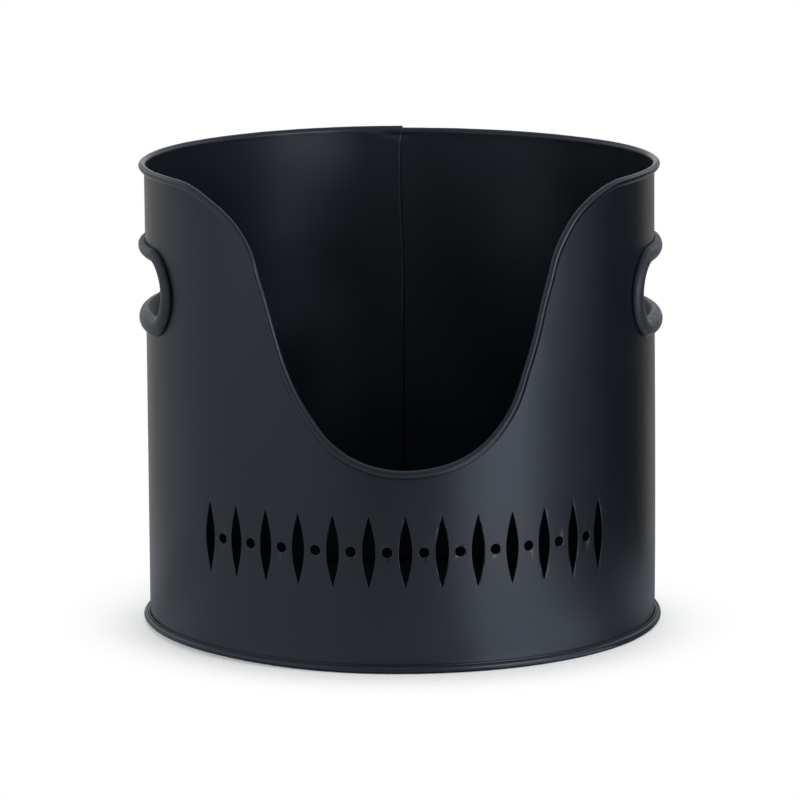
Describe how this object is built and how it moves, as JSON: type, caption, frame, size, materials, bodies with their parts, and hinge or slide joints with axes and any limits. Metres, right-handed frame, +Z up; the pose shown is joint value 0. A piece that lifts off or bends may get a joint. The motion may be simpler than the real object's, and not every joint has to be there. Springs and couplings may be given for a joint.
{
  "type": "kindling bucket",
  "caption": "Round black steel kindling bucket with a scooped, wire-rolled front rim, rubber-edged hand holes at the sides and a pierced band low on the front.",
  "frame": {"origin": "on the ground under the middle of the base", "axes": "+Z up, the scooped front faces -Y, the hand holes are at -X and +X"},
  "size_m": [0.309, 0.3076, 0.2743],
  "materials": {
    "wall_coat": "satin black powder coat on rolled sheet steel",
    "base_coat": "satin black powder coat on pressed sheet steel",
    "wire_steel": "bare drawn wire, hidden in the roll",
    "grip_rubber": "soft-sheen moulded black rubber edging"
  },
  "bodies": {
    "root": {"body_wall": "wall_coat", "rim_wire": "wire_steel", "base_pan": "base_coat", "hand_hole_grip_left": "grip_rubber", "hand_hole_grip_right": "grip_rubber"}
  },
  "joints": []
}
